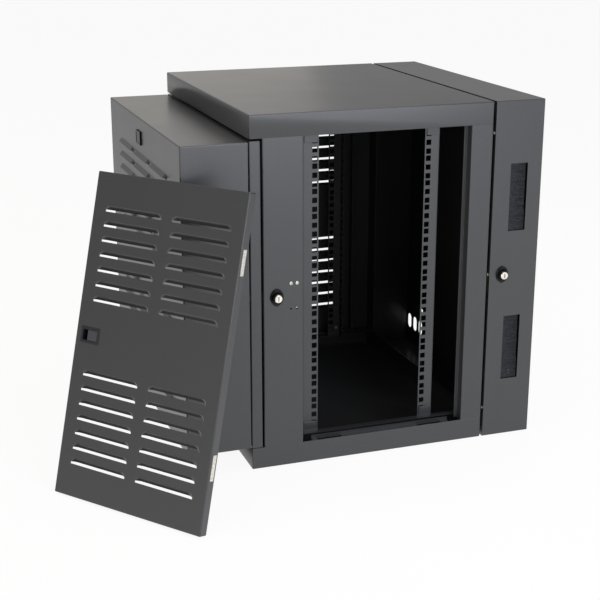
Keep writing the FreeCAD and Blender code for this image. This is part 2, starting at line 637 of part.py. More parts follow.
def leaning_place():
    """The panel stands on its lower flange and its upper flange touches the hood's corner."""
    turn, lean = math.radians(TURN_ANGLE), math.radians(LEAN_ANGLE)
    across = V(math.cos(turn), math.sin(turn), 0)
    towards = V(-math.sin(turn), math.cos(turn), 0)
    up = towards * math.sin(lean) + V(0, 0, math.cos(lean))
    inward = towards * math.cos(lean) - V(0, 0, math.sin(lean))
    corner = V(SIDE, HOOD_FRONT, 0)
    reach = across * LEAN_OFFSET + up * (PANEL_HEIGHT / 2) + inward * PANEL_DEPTH
    centre = corner - towards * SEAT - reach
    centre.z = PANEL_HEIGHT / 2 * math.cos(lean) + PANEL_DEPTH * math.sin(lean)
    return placement(across, inward, up, centre)


def make_side_panels():
    left = placement(V(0, 1, 0), V(1, 0, 0), V(0, 0, -1), V(-SIDE, PANEL_MID_Y, MIDDLE))
    pieces = {"side_panel": panel_shell(), "panel_latch_case": latch_case(),
              "panel_latch_slider": latch_slider(), "panel_clips": panel_clips()}
    for name, shape in pieces.items():
        for side, place in (("left", left), ("right", leaning_place())):
            moved = shape.copy()
            moved.Placement = place
            save(f"{name}_{side}", moved)


# ---- front door ------------------------------------------------------------------------
def make_door():
    low, high = (-SIDE, FRONT, DOOR_BASE), (SIDE, FRONT + FRAME_DEPTH, DOOR_TOP)
    outer = box(low, high)
    outer = outer.makeFillet(BEND + SHEET, [e for e in outer.Edges
                                            if e.BoundBox.ZMax - e.BoundBox.ZMin > 100])
    inside = box((low[0] + SHEET, low[1] + SHEET, low[2] + SHEET),
                 (high[0] - SHEET, high[1] - SHEET, high[2] - SHEET))
    mouth = box((low[0] + HOOD_RETURN, low[1] - 1, low[2] + HOOD_RETURN),
                (high[0] - HOOD_RETURN, low[1] + 2 * SHEET, high[2] - HOOD_RETURN))
    window = box((low[0] + FRAME_FLANGE, low[1] - 1, low[2] + FRAME_FLANGE),
                 (high[0] - FRAME_FLANGE, high[1] + 1, high[2] - FRAME_FLANGE))
    frame = outer.cut([inside, mouth, window])
    frame = frame.cut(cam_slot(DOOR_LOCK, high[1] - 2 * SHEET, high[1] + SHEET))
    for z in (DOOR_BASE - 1, DOOR_TOP - SHEET - 1):
        frame = frame.cut(rod(DOOR_PIN_RADIUS, SHEET + 2, V(DOOR_AXIS.x, DOOR_AXIS.y, z), V(0, 0, 1)))
    save("door_frame", frame)
    pin_depth = DOOR_CLEAR_TOP + 3 * SHEET
    save("door_pin_top", rod(DOOR_PIN_RADIUS, SHEET + pin_depth,
                             V(DOOR_AXIS.x, DOOR_AXIS.y, DOOR_TOP - SHEET), V(0, 0, 1)))
    pin_depth = DOOR_CLEAR_BOTTOM + 3 * SHEET
    save("door_pin_bottom", rod(DOOR_PIN_RADIUS, SHEET + pin_depth,
                                V(DOOR_AXIS.x, DOOR_AXIS.y, DOOR_BASE - pin_depth), V(0, 0, 1)))
    make_hood()


def make_hood():
    """Open-backed box with a return all round and louvres pressed outwards in its face."""
    corner = BEND + SHEET
    low, high = (-SIDE, HOOD_FRONT, DOOR_BASE), (SIDE, HOOD_BACK, HOOD_TOP)
    outer = box(low, high)
    edges = [e for e in outer.Edges
             if e.BoundBox.YMax < HOOD_FRONT + 1 or e.BoundBox.YMax - e.BoundBox.YMin > 100]
    outer = outer.makeFillet(corner, edges)
    inside = box((low[0] + SHEET, low[1] + SHEET, low[2] + SHEET),
                 (high[0] - SHEET, high[1] - SHEET, high[2] - SHEET))
    mouth = box((low[0] + HOOD_RETURN, low[1] + SHEET, low[2] + HOOD_RETURN),
                (high[0] - HOOD_RETURN, high[1] + 1, high[2] - HOOD_RETURN))
    shell = outer.cut([inside, mouth])
    # the face is drawn with its inner side at local Y = 0 and pressed towards the front
    flip = placement(V(-1, 0, 0), V(0, -1, 0), V(0, 0, 1), V(0, HOOD_FRONT + SHEET, MIDDLE))
    length = column_length(WIDTH, HOOD_LOUVRE_MARGIN, HOOD_COLUMNS, HOOD_COLUMN_GAP)
    dome, hollow = louvre_pair(length, SHEET)
    domes, hollows = [], []
    for x, z in louvre_places(HOOD_COLUMNS, length + HOOD_COLUMN_GAP, HOOD_GROUPS_APART):
        for form, group in ((dome, domes), (hollow, hollows)):
            pressed = form.translated(V(x, 0, z))
            pressed.Placement = flip.multiply(pressed.Placement)
            group.append(pressed)
    save("door_hood", shell.fuse(domes).cut(hollows))
    make_hood_screws()


def make_hood_screws():
    """Spacers in the shadow line, between the hood's return and the frame's front flange."""
    x = SIDE - HOOD_RETURN / 2 - SHEET
    heights = (DOOR_BASE + HOOD_SCREW_EDGE, MIDDLE, HOOD_TOP - HOOD_SCREW_EDGE)
    spacers = [rod(SCREW_HEAD_RADIUS, HOOD_JOINT, V(side * x, HOOD_BACK, z), V(0, 1, 0))
               for side in (-1, 1) for z in heights]
    save("hood_screws", Part.makeCompound(spacers))


# ---- wall section ----------------------------------------------------------------------
def wall_holes():
    return [V(x * WALL_HOLE_SPACING / 2, WALL_BACK, z)
            for x in (-1, 1) for z in (WALL_HOLE_EDGE, HEIGHT - WALL_HOLE_EDGE)]


def back_slots():
    """Cuts for the cable slots in the back plate."""
    half = BACK_SLOT_HEIGHT / 2 - BACK_SLOT_WIDTH / 2
    cuts = []
    for index in range(BACK_SLOTS):
        middle = V(-SIDE + BACK_SLOT_INSET + index * BACK_SLOT_PITCH, WALL_BACK - 2 * SHEET, BACK_SLOT_RISE)
        ends = [rod(BACK_SLOT_WIDTH / 2, 3 * SHEET, middle + V(0, 0, up), V(0, 1, 0))
                for up in (-half, half)]
        body = box((middle.x - BACK_SLOT_WIDTH / 2, middle.y, middle.z - half),
                   (middle.x + BACK_SLOT_WIDTH / 2, middle.y + 3 * SHEET, middle.z + half))
        cuts.append(fused([body] + ends))
    return cuts


def make_wall_section():
    corner = BEND + SHEET
    outer = box((-SIDE, WALL_FRONT, 0), (SIDE, WALL_BACK, HEIGHT))
    outer = outer.makeFillet(corner, [e for e in outer.Edges
                                      if e.BoundBox.YMax - e.BoundBox.YMin > WALL_DEPTH - 1])
    inside = box((-SIDE + SHEET, WALL_FRONT + SHEET, SHEET),
                 (SIDE - SHEET, WALL_BACK - SHEET, HEIGHT - SHEET))
    front = WALL_FRONT_RETURN
    mouth = box((-SIDE + front, WALL_FRONT - 1, front), (SIDE - front, WALL_FRONT + 5, HEIGHT - front))
    cuts = [inside, mouth, cam_slot(WALL_LOCK, WALL_FRONT - SHEET, WALL_FRONT + 2 * SHEET),
            rod(BARREL_RADIUS, 3 * SHEET, WALL_LOCK + V(-2 * SHEET, 0, 0), V(1, 0, 0))]
    cuts += [rod(WALL_HOLE_RADIUS, 3 * SHEET, hole - V(0, 2 * SHEET, 0), V(0, 1, 0))
             for hole in wall_holes()]
    cuts += back_slots()
    window_y = WALL_FRONT + BRUSH_SETBACK
    for z in (BRUSH_LOWER, BRUSH_UPPER):
        cuts.append(box((SIDE - 2 * SHEET, window_y, z),
                        (SIDE + SHEET, window_y + BRUSH_WIDTH, z + BRUSH_LENGTH)))
    save("wall_frame", outer.cut(cuts))
    for name, z in (("lower", BRUSH_LOWER), ("upper", BRUSH_UPPER)):
        make_brush(name, window_y, z)


def make_brush(name, window_y, z):
    """Bristles across a cable window, gripped by a channel along its front edge."""
    inner = SIDE - SHEET
    behind = inner - BRISTLE_THICK
    start = window_y - HOLDER
    low, high = z - HOLDER, z + BRUSH_LENGTH + HOLDER
    stop_width = HOLDER_SHEET + 0.4
    save(f"brush_bristles_{name}", box((behind, start + stop_width + SEAT, z + SEAT),
                                       (inner, window_y + BRUSH_WIDTH - BRUSH_GAP,
                                        z + BRUSH_LENGTH - SEAT)))
    strip = box((behind - HOLDER_SHEET, start, low), (behind, window_y, high))
    stop = box((behind - HOLDER_SHEET, start, low), (inner, start + stop_width, high))
    save(f"brush_holder_{name}", fused([strip, stop]))


# ---- swing hinges ----------------------------------------------------------------------
def knuckle(low, high, bore):
    barrel = rod(KNUCKLE_RADIUS, high - low, SWING_AXIS + V(0, 0, low), V(0, 0, 1))
    return barrel.cut(rod(bore, high - low + 2, SWING_AXIS + V(0, 0, low - 1), V(0, 0, 1)))


def make_swing_hinge(name, base):
    """Butt hinge in the gap: outer knuckles on the wall section, the middle one on the body."""
    third = HINGE_LENGTH / 3
    x0, x1 = SWING_AXIS.x, -SIDE + LEAF_WIDTH
    bores = [(base, base + third), (base + 2 * third, base + HINGE_LENGTH)]
    pin_bore = rod(SWING_PIN_RADIUS, HINGE_LENGTH + 2, SWING_AXIS + V(0, 0, base - 1), V(0, 0, 1))
    plate = box((x0, WALL_FRONT - LEAF, base), (x1, WALL_FRONT, base + HINGE_LENGTH))
    relief = rod(KNUCKLE_RADIUS + KNUCKLE_GAP, third + 2 * KNUCKLE_GAP,
                 SWING_AXIS + V(0, 0, base + third - KNUCKLE_GAP), V(0, 0, 1))
    wall_leaf = fused([plate.cut([relief, pin_bore])] + [knuckle(a, b, SWING_PIN_RADIUS)
                                                         for a, b in bores])
    save(f"swing_leaf_wall_{name}", wall_leaf)
    plate = box((x0, REAR, base), (x1, REAR + LEAF, base + HINGE_LENGTH))
    reliefs = [rod(KNUCKLE_RADIUS + KNUCKLE_GAP, third + 2 * KNUCKLE_GAP,
                   SWING_AXIS + V(0, 0, low - KNUCKLE_GAP), V(0, 0, 1)) for low, _ in bores]
    running = SWING_PIN_RADIUS + PIN_CLEAR
    middle = knuckle(base + third + KNUCKLE_GAP, base + 2 * third - KNUCKLE_GAP, running)
    running_bore = rod(running, HINGE_LENGTH + 2, SWING_AXIS + V(0, 0, base - 1), V(0, 0, 1))
    save(f"swing_leaf_body_{name}", fused([plate.cut(reliefs + [running_bore]), middle]))
    pin = rod(SWING_PIN_RADIUS, HINGE_LENGTH, SWING_AXIS + V(0, 0, base), V(0, 0, 1))
    head = rod(KNUCKLE_RADIUS - 0.5, 1.5, SWING_AXIS + V(0, 0, base + HINGE_LENGTH), V(0, 0, 1))
    save(f"swing_pin_{name}", fused([pin, head]))


make_pans()
make_posts()
make_rack()
make_lock("door_lock", DOOR_LOCK)
make_lock("wall_lock", WALL_LOCK)
make_strikes()
make_gap_screws()
make_earth_stud()
make_rail_screws()
make_side_panels()
make_door()
make_wall_section()
make_swing_hinge("lower", HINGE_EDGE)
make_swing_hinge("upper", HEIGHT - HINGE_EDGE - HINGE_LENGTH)
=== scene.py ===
"""Swing-out wall cabinet for 19-inch equipment: finishes, small pieces, stage, lamps and camera.

Everything is in metres in the cabinet's own frame: +Z up, the front door faces -Y, the wall is
at +Y, and the origin is the centre of the main body's base.
"""
import json
import math
import random

import bmesh
import bpy
from mathutils import Matrix, Vector


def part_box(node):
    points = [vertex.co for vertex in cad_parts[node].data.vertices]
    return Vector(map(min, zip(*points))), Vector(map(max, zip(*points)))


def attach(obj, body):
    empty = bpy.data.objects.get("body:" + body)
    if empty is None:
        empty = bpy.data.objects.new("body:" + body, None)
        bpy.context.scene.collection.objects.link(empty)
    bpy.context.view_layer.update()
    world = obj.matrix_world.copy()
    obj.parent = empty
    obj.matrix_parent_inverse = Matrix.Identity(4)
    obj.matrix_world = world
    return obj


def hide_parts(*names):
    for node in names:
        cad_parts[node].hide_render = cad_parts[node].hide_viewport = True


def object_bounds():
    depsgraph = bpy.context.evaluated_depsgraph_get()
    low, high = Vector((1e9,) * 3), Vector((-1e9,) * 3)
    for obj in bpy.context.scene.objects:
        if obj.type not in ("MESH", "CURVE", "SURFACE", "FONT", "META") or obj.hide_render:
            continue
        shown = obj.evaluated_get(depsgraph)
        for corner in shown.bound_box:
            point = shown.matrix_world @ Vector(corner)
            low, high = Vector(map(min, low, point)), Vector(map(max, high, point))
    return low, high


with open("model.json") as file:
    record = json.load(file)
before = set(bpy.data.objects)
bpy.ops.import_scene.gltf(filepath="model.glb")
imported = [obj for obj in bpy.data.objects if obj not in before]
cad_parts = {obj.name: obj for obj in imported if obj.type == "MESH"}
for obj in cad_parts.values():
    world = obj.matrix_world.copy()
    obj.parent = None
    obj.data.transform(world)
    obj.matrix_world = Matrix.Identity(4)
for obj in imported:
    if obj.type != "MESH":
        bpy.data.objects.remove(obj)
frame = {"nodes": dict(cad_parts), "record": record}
CAD_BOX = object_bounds()
NODES = frame["nodes"]
MM = 0.001
PANEL_TURN = math.radians(38.4)    # the leaning panel's face, from the cabinet's side
PANEL_LEAN = math.radians(16.05)   # and from upright
SKIN = 0.7 * MM                    # within a wall's thickness, from its outer face
LIP_X = 267.4 * MM                 # within the right sill's lip
MIDDLE = CAD_BOX[1].z / 2          # half way up the cabinet
HOOD_DEPTH = 116 * MM
HOOD_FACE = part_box("hood_screws")[0].y - HOOD_DEPTH
RIGHT, UP = Vector((1, 0, 0)), Vector((0, 0, 1))


# ---- camera ----------------------------------------------------------------------------
def make_camera():
    """A long lens from the right, turned to the front, a little above the top cover."""
    place, sight = (2.2887, -0.8325, 0.9765), Vector((-0.9010, 0.3134, -0.3004))
    camera = bpy.data.cameras.new("camera")
    camera.lens = 76.9
    camera.sensor_width = 36.0
    stand = bpy.data.objects.new("camera", camera)
    stand.location = place
    stand.rotation_euler = sight.to_track_quat("-Z", "Y").to_euler()
    bpy.context.scene.collection.objects.link(stand)
    bpy.context.scene.camera = stand


make_camera()


# ---- nodes and colours -----------------------------------------------------------------
def hex_colour(code):
    """sRGB hex value to linear red, green, blue and alpha."""
    parts = [int(code[i:i + 2], 16) / 255 for i in (1, 3, 5)]
    return [p / 12.92 if p <= 0.04045 else ((p + 0.055) / 1.055) ** 2.4 for p in parts] + [1.0]


def node(tree, kind, links=None, **settings):
    """Add a node; settings are its properties or, with names in values, its sockets."""
    made = tree.nodes.new("ShaderNode" + kind)
    values = settings.pop("values", {})
    for name, value in settings.items():
        setattr(made, name, value)
    for socket, value in values.items():
        made.inputs[socket].default_value = value
    for socket, source in (links or {}).items():
        tree.links.new(source, made.inputs[socket])
    return made


def finish_of(name, colour, roughness, metallic=0.0, ior=1.5):
    """A material with its shader and object coordinates ready."""
    made = bpy.data.materials.new(name)
    made.use_nodes = True
    tree = made.node_tree
    shader = tree.nodes["Principled BSDF"]
    shader.inputs["Base Color"].default_value = hex_colour(colour)
    shader.inputs["Roughness"].default_value = roughness
    shader.inputs["Metallic"].default_value = metallic
    if not metallic:
        shader.inputs["IOR"].default_value = ior
    place = node(tree, "TexCoord").outputs["Object"]
    return made, tree, shader, place


def mottle(tree, place, grain, low, high):
    """Two colours in soft patches of the given size in metres."""
    noise = node(tree, "TexNoise", {"Vector": place}, values={"Scale": 1 / grain, "Detail": 2.0})
    ramp = node(tree, "ValToRGB", {"Fac": noise.outputs["Fac"]})
    ramp.color_ramp.elements[0].position = 0.35
    ramp.color_ramp.elements[0].color = hex_colour(low)
    ramp.color_ramp.elements[1].position = 0.65
    ramp.color_ramp.elements[1].color = hex_colour(high)
    return ramp.outputs["Color"]


def pebble(tree, place, grain, height, shader):
    """Bump of the given grain and height in metres."""
    noise = node(tree, "TexNoise", {"Vector": place}, values={"Scale": 1 / grain, "Detail": 2.0})
    bump = node(tree, "Bump", {"Height": noise.outputs["Fac"]}, values={"Distance": height})
    tree.links.new(bump.outputs["Normal"], shader.inputs["Normal"])


def inside_box(tree, place, low, high):
    """1 where a point lies between two corners, else 0."""
    centre = (Vector(low) + Vector(high)) / 2
    half = (Vector(high) - Vector(low)) / 2
    moved = node(tree, "VectorMath", {0: place}, operation="SUBTRACT", values={1: centre})
    folded = node(tree, "VectorMath", {0: moved.outputs[0]}, operation="ABSOLUTE")
    past = node(tree, "VectorMath", {0: folded.outputs[0]}, operation="SUBTRACT", values={1: half})
    axes = node(tree, "SeparateXYZ", {0: past.outputs[0]})
    most = node(tree, "Math", {0: axes.outputs[0], 1: axes.outputs[1]}, operation="MAXIMUM")
    most = node(tree, "Math", {0: most.outputs[0], 1: axes.outputs[2]}, operation="MAXIMUM")
    within = node(tree, "Math", {0: most.outputs[0]}, operation="LESS_THAN", values={1: 0.0})
    return within.outputs[0]


PEEL = 2.2 * MM         # the peel is 1 mm across, and is drawn coarser so that it shows
SHADED_ROUGHNESS = 0.8   # roughness inside the boxes of painted shade, where the coat is made dull


def powder_coat(name, low, high, roughness=0.36, inner=None, shade_colour="#050506", turned=None):
    """Polyester powder baked on steel: an even satin black with a fine orange peel.

    A box in inner gets painted shade: within it the colour is painted near black and the coat
    made dull, for insides and recesses that little light reaches. The box may be given in a turned
    frame.
    """
    made, tree, shader, place = finish_of(name, low, roughness, ior=1.6)
    shader.inputs["Coat Weight"].default_value = 0.25
    shader.inputs["Coat Roughness"].default_value = 0.22
    colour = mottle(tree, place, PEEL, low, high)
    cloud = node(tree, "TexNoise", {"Vector": place}, values={"Scale": 9.0, "Detail": 1.0})
    gloss = node(tree, "MapRange", {"Value": cloud.outputs["Fac"]},
                 values={"To Min": roughness - 0.03, "To Max": roughness + 0.03}).outputs[0]
    # painted shade: inside the box the colour turns near black and the coat dull
    if inner:
        local = place
        if turned:
            local = node(tree, "Mapping", {"Vector": place}, vector_type="TEXTURE",
                         values={"Location": turned.to_translation(),
                                 "Rotation": turned.to_euler()}).outputs[0]
        within = inside_box(tree, local, *inner)
        mixed = node(tree, "Mix", {0: within, 6: colour}, data_type="RGBA",
                     values={7: hex_colour(shade_colour)})
        colour = mixed.outputs[2]
        gloss = node(tree, "Mix", {0: within, 2: gloss},
                     values={3: SHADED_ROUGHNESS}).outputs[0]
    tree.links.new(colour, shader.inputs["Base Color"])
    tree.links.new(gloss, shader.inputs["Roughness"])
    pebble(tree, place, PEEL, 0.04 * MM, shader)
    return made


def zinc_plate():
    """Clear-passivated zinc on steel: pale, slightly warm, with soft cloudy patches."""
    made, tree, shader, place = finish_of("zinc_plated_steel", "#c9c6bd", 0.32, metallic=1.0)
    tree.links.new(mottle(tree, place, 5 * MM, "#b5b1a6", "#d9d6ce"), shader.inputs["Base Color"])
    pebble(tree, place, 1.5 * MM, 0.03 * MM, shader)
    return made


def spring_steel():
    """Bright stainless strip: pale, with the soft gleam of the cold-rolled face."""
    made, tree, shader, place = finish_of("stainless_spring_strip", "#efece4", 0.45, metallic=1.0)
    tree.links.new(mottle(tree, place, 4 * MM, "#dcd6c9", "#fbfaf6"), shader.inputs["Base Color"])
    pebble(tree, place, 1.5 * MM, 0.02 * MM, shader)
    return made


def nickel_plate():
    """Nickel plate on a brass cylinder: bright, a little yellow, with fine turning marks."""
    made, tree, shader, place = finish_of("nickel_plated_brass", "#f0ebe0", 0.24, metallic=1.0)
    tree.links.new(mottle(tree, place, 2 * MM, "#e8e2d5", "#f8f5ee"), shader.inputs["Base Color"])
    pebble(tree, place, 0.8 * MM, 0.02 * MM, shader)
    return made


def black_lacquer():
    """Die-cast lock housing in glossy black lacquer."""
    made, tree, shader, place = finish_of("lacquered_zamak", "#050505", 0.3, ior=1.35)
    tree.links.new(mottle(tree, place, 3 * MM, "#040404", "#070707"), shader.inputs["Base Color"])
    pebble(tree, place, 1.2 * MM, 0.02 * MM, shader)
    return made


def moulded_nylon(name, low, high):
    """Injection-moulded nylon: spark-eroded grain, half matt."""
    made, tree, shader, place = finish_of(name, low, 0.42)
    tree.links.new(mottle(tree, place, 1.5 * MM, low, high), shader.inputs["Base Color"])
    pebble(tree, place, 0.8 * MM, 0.05 * MM, shader)
    return made


def brush_filament():
    """Nylon filaments: near black, with a cold sheen that changes from bundle to bundle painted
    into the colour as lighter and darker patches.
    """
    made, tree, shader, place = finish_of("nylon_filament", "#15171c", 0.5)
    # painted sheen: the lighter patches stand for light caught by some bundles
    tree.links.new(mottle(tree, place, 3 * MM, "#07080b", "#30343c"), shader.inputs["Base Color"])
    return made


def copper_stud():
    """Bare copper-plated earthing stud."""
    made, tree, shader, place = finish_of("copper_plated_steel", "#b5713f", 0.35, metallic=1.0)
    tree.links.new(mottle(tree, place, 3 * MM, "#9d5f34", "#c58252"), shader.inputs["Base Color"])
    return made


COAT_LOW, COAT_HIGH = "#303133", "#343538"


# ---- boxes of painted shade: the parts' insides and the louvre recesses ----------------
ALL_ROUND = Vector((SKIN, SKIN, SKIN))
BODY_LOW, BODY_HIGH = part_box("top_cover")
HOOD_LOW, HOOD_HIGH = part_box("door_hood")
LEFT_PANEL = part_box("side_panel_left")
BODY_INSIDE = (Vector((-BODY_HIGH.x + SKIN, BODY_LOW.y + SKIN, SKIN)),
               Vector((LIP_X, BODY_HIGH.y - SKIN, BODY_HIGH.z - SKIN)))
PAST_OPEN_SIDE = 1.0               # the panel's box is open towards the cabinet
LEFT_PANEL_INSIDE = (LEFT_PANEL[0] + ALL_ROUND,
                     LEFT_PANEL[1] + Vector((PAST_OPEN_SIDE, -SKIN, -SKIN)))
HOOD_INSIDE = (Vector((-BODY_HIGH.x + SKIN, HOOD_FACE + SKIN, HOOD_LOW.z + SKIN)),
               Vector((BODY_HIGH.x - SKIN, BODY_LOW.y - SKIN, HOOD_HIGH.z - SKIN)))
WALL_LOW, WALL_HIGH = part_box("wall_frame")
WALL_INSIDE = (WALL_LOW + ALL_ROUND, WALL_HIGH - ALL_ROUND)
# the louvres of the leaning panel, in its own frame: behind its face and clear of its edges; their
# recesses get painted shade
PANEL_SIZE = LEFT_PANEL[1] - LEFT_PANEL[0]
PANEL_EDGE, PANEL_FACE, LOUVRE_REACH = 20 * MM, 1.4 * MM, 30 * MM
LOUVRES = (Vector((-PANEL_SIZE.y / 2 + PANEL_EDGE, PANEL_FACE, -PANEL_SIZE.z / 2 + PANEL_EDGE)),
           Vector((PANEL_SIZE.y / 2 - PANEL_EDGE, LOUVRE_REACH, PANEL_SIZE.z / 2 - PANEL_EDGE)))


# ---- the two side panels' own frames ---------------------------------------------------
def panel_frames():
    """Matrices from a panel's own frame: X from latch to clips, Y inwards, Z up its length."""
    low, high = LEFT_PANEL
    depth = high.x - low.x
    left = Matrix(((0, 1, 0, low.x), (1, 0, 0, (low.y + high.y) / 2),
                   (0, 0, -1, (low.z + high.z) / 2), (0, 0, 0, 1)))
    across = Vector((math.cos(PANEL_TURN), math.sin(PANEL_TURN), 0))
    towards = Vector((-math.sin(PANEL_TURN), math.cos(PANEL_TURN), 0))
    up = towards * math.sin(PANEL_LEAN) + Vector((0, 0, math.cos(PANEL_LEAN)))
    inward = towards * math.cos(PANEL_LEAN) - Vector((0, 0, math.sin(PANEL_LEAN)))
    low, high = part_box("side_panel_right")
    centre = (low + high) / 2 - inward * depth / 2
    leaning = Matrix((across, inward, up)).transposed().to_4x4()
    leaning.translation = centre
    return {"left": left, "right": leaning}


PANEL_FRAMES = panel_frames()


# ---- finishes of the pieces ------------------------------------------------------------
FINISH = {
    "powder_coat": powder_coat("powder_coat_black", COAT_LOW, COAT_HIGH),
    # painted shade: the insides of the body, left panel, hood and wall section turn near black
    "body_coat": powder_coat("powder_coat_body", COAT_LOW, COAT_HIGH, inner=BODY_INSIDE),
    "left_panel_coat": powder_coat("powder_coat_left_panel", COAT_LOW, COAT_HIGH,
                                   inner=LEFT_PANEL_INSIDE),
    # painted shade: the leaning panel's louvre recesses turn dark grey
    "right_panel_coat": powder_coat("powder_coat_right_panel", COAT_LOW, COAT_HIGH, inner=LOUVRES,
                                    shade_colour="#0e0e0f", turned=PANEL_FRAMES["right"]),
    "hood_coat": powder_coat("powder_coat_hood", COAT_LOW, COAT_HIGH, inner=HOOD_INSIDE),
    "wall_coat": powder_coat("powder_coat_wall_section", COAT_LOW, COAT_HIGH, inner=WALL_INSIDE),
    # painted shade: a near-black dull coat for parts deep inside the cabinet
    "painted_shade_coat": powder_coat("powder_coat_painted_shade", "#060607", "#09090a", roughness=0.75),
    "zinc": zinc_plate(),
    "nickel": nickel_plate(),
    "spring": spring_steel(),
    "lock_black": black_lacquer(),
    "latch_grey": moulded_nylon("moulded_nylon_grey", "#3b3d42", "#43464b"),
    "latch_black": moulded_nylon("moulded_nylon_black", "#151516", "#1b1b1d"),
    "bristle": brush_filament(),
    "copper": copper_stud(),
}
COAT_OF = {
    "top_cover": "body_coat",
    "bottom_pan": "body_coat",
    "door_hood": "hood_coat",
    "wall_frame": "wall_coat",
    "side_panel_left": "left_panel_coat",
    "side_panel_right": "right_panel_coat",
    "panel_latch_case_left": "latch_black",
    "panel_latch_case_right": "latch_black",
}
COAT_OF.update({name: "body_coat" for name in NODES if "_post_" in name})
# painted shade: the left rails, deep inside, take the near-black coat
COAT_OF.update({name: "painted_shade_coat" for name in NODES if "_rail_left" in name})


def dress_cad_nodes():
    """Give every carried-over node its finish."""
    slot_of = {part["node"]: part["material_slot"] for part in frame["record"]["subparts"]}
    for name, made in NODES.items():
        for slot in made.material_slots:
            slot.material = FINISH[COAT_OF.get(name, slot_of[name])]


dress_cad_nodes()


# ---- modelling helpers -----------------------------------------------------------------
def clear_selection():
    bpy.ops.object.select_all(action="DESELECT")


def apply_place(piece):
    """Move a piece's place, turn and size into its mesh."""
    clear_selection()
    piece.select_set(True)
    bpy.context.view_layer.objects.active = piece
    bpy.ops.object.transform_apply(location=True, rotation=True, scale=True)


def add_block(name, centre, size):
    clear_selection()
    bpy.ops.mesh.primitive_cube_add(size=1, location=centre, scale=size)
    piece = bpy.context.object
    piece.name = name
    apply_place(piece)
    return piece


def add_disc(name, centre, radius, depth, turn=(0, 0, 0), vertices=40):
    clear_selection()
    bpy.ops.mesh.primitive_cylinder_add(vertices=vertices, radius=radius, depth=depth,
                                        location=centre, rotation=turn)
    piece = bpy.context.object
    piece.name = name
    apply_place(piece)
    return piece


def modify(piece, kind, **settings):
    """Add a modifier and apply it."""
    clear_selection()
    piece.select_set(True)
    bpy.context.view_layer.objects.active = piece
    made = piece.modifiers.new(kind, kind)
    for name, value in settings.items():
        setattr(made, name, value)
    bpy.ops.object.modifier_apply(modifier=made.name)


def round_edges(piece, width, segments=3):
    modify(piece, "BEVEL", width=width, segments=segments, limit_method="ANGLE")


def cut(piece, *tools):
    for tool in tools:
        modify(piece, "BOOLEAN", operation="DIFFERENCE", object=tool, solver="EXACT")
        bpy.data.objects.remove(tool)


def edit_faces(piece, wanted):
    """Enter edit mode with the faces that wanted() accepts selected."""
    clear_selection()
    piece.select_set(True)
    bpy.context.view_layer.objects.active = piece
    bpy.ops.object.mode_set(mode="EDIT")
    bpy.ops.mesh.select_mode(type="FACE")
    bpy.ops.mesh.select_all(action="DESELECT")
    mesh = bmesh.from_edit_mesh(piece.data)
    for face in mesh.faces:
        face.select = wanted(face)
    mesh.select_flush_mode()
    bmesh.update_edit_mesh(piece.data)


def leave_edit():
    bpy.ops.object.mode_set(mode="OBJECT")


def inset_and_push(piece, wanted, thickness, move):
    """Inset the wanted faces and move them, as for a rim or a recess."""
    edit_faces(piece, wanted)
    bpy.ops.mesh.inset(thickness=thickness)
    bpy.ops.mesh.extrude_region_move(TRANSFORM_OT_translate={"value": move})
    leave_edit()


def copy_of(piece, name, shift=(0, 0, 0), matrix=None):
    made = piece.copy()
    made.data = piece.data.copy()
    made.name = name
    bpy.context.scene.collection.objects.link(made)
    made.data.transform(matrix or Matrix.Translation(shift))
    return made


def join(name, pieces):
    clear_selection()
    for piece in pieces:
        piece.select_set(True)
    bpy.context.view_layer.objects.active = pieces[0]
    bpy.ops.object.join()
    pieces[0].name = name
    return pieces[0]


def smooth(piece, angle=35):
    clear_selection()
    piece.select_set(True)
    bpy.context.view_layer.objects.active = piece
    bpy.ops.object.shade_smooth_by_angle(angle=math.radians(angle))


def hand_over(piece, body, slot, finish=None, *stands_for):
    """Finish a piece: its material (the slot's finish unless another is given), its body, and the
    nodes it stands for, which are hidden.
    """
    piece.data.materials.clear()
    piece.data.materials.append(FINISH[finish or slot])
    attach(piece, body)
    if stands_for:
        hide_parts(*stands_for)


# ---- badge plate -----------------------------------------------------------------------
def make_badge():
    """Blank plate on the hood's face, with a raised rim."""
    wide, thick, tall = 34 * MM, 3 * MM, 25 * MM
    rim, recess = 1.5 * MM, 0.5 * MM
    plate = add_block("badge_plate", (-19 * MM, HOOD_FACE - thick / 2, 553.5 * MM),
                      (wide, thick, tall))
    round_edges(plate, 0.6 * MM)
    inset_and_push(plate, lambda f: f.normal.y < -0.99 and f.calc_area() > wide * tall / 2,
                   rim, (0, recess, 0))
    hand_over(plate, "front_door", "lock_black")


